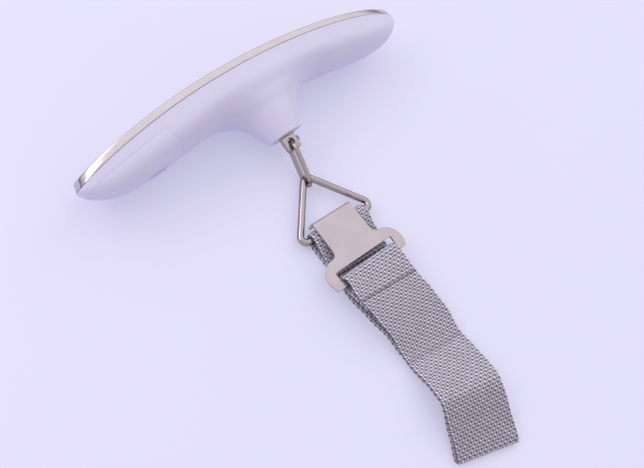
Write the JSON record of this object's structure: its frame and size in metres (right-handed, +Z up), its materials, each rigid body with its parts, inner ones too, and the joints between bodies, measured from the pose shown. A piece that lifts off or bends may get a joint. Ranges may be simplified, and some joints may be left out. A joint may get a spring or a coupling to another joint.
{
  "type": "luggage scale",
  "caption": "Handheld digital luggage scale lying on its side: arched T-shaped grip, hanging eye, link, triangle ring, webbing strap folded into a loop and flat hook buckle.",
  "frame": {"origin": "bottom centre of the whole scale as it lies on a flat surface", "axes": "+X along the arms of the handle, +Y from the strap towards the handle's face plate, +Z up from the surface"},
  "size_m": [0.1656, 0.1834, 0.0308],
  "materials": {
    "white_plastic": "soft gloss",
    "key_plastic": "satin",
    "dark_plastic": "satin",
    "clear_lens": "clear",
    "lcd_glass": "smooth grey-green",
    "zebra_rubber": "matte",
    "board_laminate": "solder mask",
    "screw_steel": "zinc plated",
    "beam_aluminium": "machined",
    "bracket_steel": "stamped",
    "gauge_film": "film",
    "nickel_steel": "nickel plated",
    "cell_steel": "satin",
    "contact_brass": "plated",
    "wire_cover": "sleeve",
    "face_steel": "brushed, bevelled rim",
    "buckle_steel": "satin nickel",
    "webbing": "woven grey",
    "thread": "sewn"
  },
  "bodies": {
    "handle": {"lower_housing": "white_plastic", "face_plate": "face_steel", "neck_collar": "white_plastic", "hanger_eye": "nickel_steel", "upper_deck": "white_plastic", "deck_screws": "screw_steel", "display_lens": "clear_lens", "lcd_panel": "lcd_glass", "lcd_frame": "white_plastic", "zebra_strip": "zebra_rubber", "circuit_board": "board_laminate", "board_screws": "screw_steel", "controller_chip": "dark_plastic", "tact_switches": "dark_plastic", "load_cell": "beam_aluminium", "load_cell_bracket": "bracket_steel", "load_cell_screws": "screw_steel", "strain_gauges": "gauge_film", "hanger_pin": "screw_steel", "battery_holder": "white_plastic", "coin_cell": "cell_steel", "contact_negative": "contact_brass", "contact_positive": "contact_brass", "battery_wires": "wire_cover", "gauge_wires": "wire_cover"},
    "door": {"battery_door": "white_plastic"},
    "power_key": {"power_button": "key_plastic"},
    "unit_key": {"unit_button": "key_plastic"},
    "link": {"connecting_link": "nickel_steel"},
    "ring": {"triangle_ring": "nickel_steel"},
    "strap": {"strap_back": "webbing", "strap_front": "webbing", "strap_stitching": "thread"},
    "buckle": {"hook_buckle": "buckle_steel"}
  },
  "joints": [
    {"name": "power_button_press", "type": "slide", "parent": "handle", "child": "power_key", "axis": [0, -0.9848, -0.1736], "range_m": [0, 0.0003], "stiffness_N_per_m": 600},
    {"name": "unit_button_press", "type": "slide", "parent": "handle", "child": "unit_key", "axis": [0, -0.9848, -0.1736], "range_m": [0, 0.0003], "stiffness_N_per_m": 600},
    {"name": "battery_door_swing", "type": "hinge", "parent": "handle", "child": "door", "pos_m": [-0.0809, 0.07336, 0.01315], "axis": [0, 0.1736, -0.9848], "range_deg": [0, 50]},
    {"name": "link_swing", "type": "hinge", "parent": "handle", "child": "link", "pos_m": [0, 0.05377, 0.0097], "axis": [0, -0.1736, 0.9848], "range_deg": [-55, 55]},
    {"name": "ring_fold", "type": "hinge", "parent": "link", "child": "ring", "pos_m": [-0.00191, 0.03928, 0.00408], "axis": [0.9962, -0.0872, 0], "range_deg": [-80, 80]},
    {"name": "strap_swing", "type": "hinge", "parent": "ring", "child": "strap", "pos_m": [-0.0039, 0.01652, 0.003], "axis": [0.9962, -0.0872, 0], "range_deg": [-90, 90]},
    {"name": "buckle_lift", "type": "hinge", "parent": "strap", "child": "buckle", "pos_m": [-0.00667, -0.00438, 0.0067], "axis": [0.9986, -0.0523, 0], "range_deg": [0, 100]}
  ]
}
